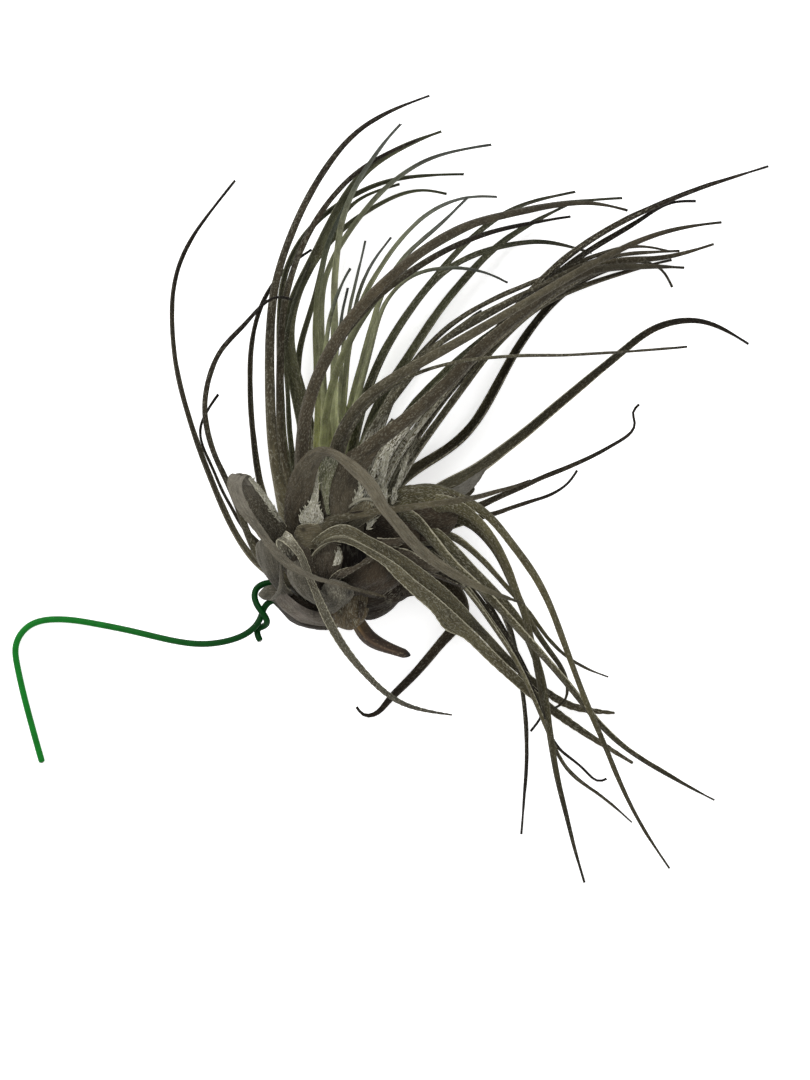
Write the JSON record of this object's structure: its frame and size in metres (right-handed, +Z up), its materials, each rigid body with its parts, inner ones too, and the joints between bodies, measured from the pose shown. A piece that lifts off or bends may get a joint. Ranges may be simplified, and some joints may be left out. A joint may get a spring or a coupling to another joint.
{
  "type": "air plant",
  "caption": "Air plant lying on its side: clasped rosettes of narrow silvery tapering leaves, a curled dry leaf, an old stalk stub and a green coated wire tied round its base.",
  "frame": {"origin": "the small flat spot under the bulb on which the plant rests", "axes": "+Z up, +Y the way the main rosette points from its bulb to its leaf tips, +X the way the side rosette points"},
  "size_m": [0.2117, 0.2206, 0.059],
  "materials": {
    "main_rosette": "living leaf, felted with fine silvery scales",
    "heart_leaves": "young leaf, paler and greener, felted with fine silvery scales",
    "side_rosette": "living leaf, felted with fine silvery scales",
    "dry_leaf": "dead dry leaf, dull brown",
    "stem_stub": "old dry stalk, dark brown and slightly wrinkled",
    "hanging_wire": "smooth glossy coat on a thin wire"
  },
  "bodies": {
    "root": {"main_rosette": "main_rosette", "heart_leaves": "heart_leaves", "side_rosette": "side_rosette", "dry_leaf": "dry_leaf", "stem_stub": "stem_stub", "hanging_wire": "hanging_wire"}
  },
  "joints": []
}
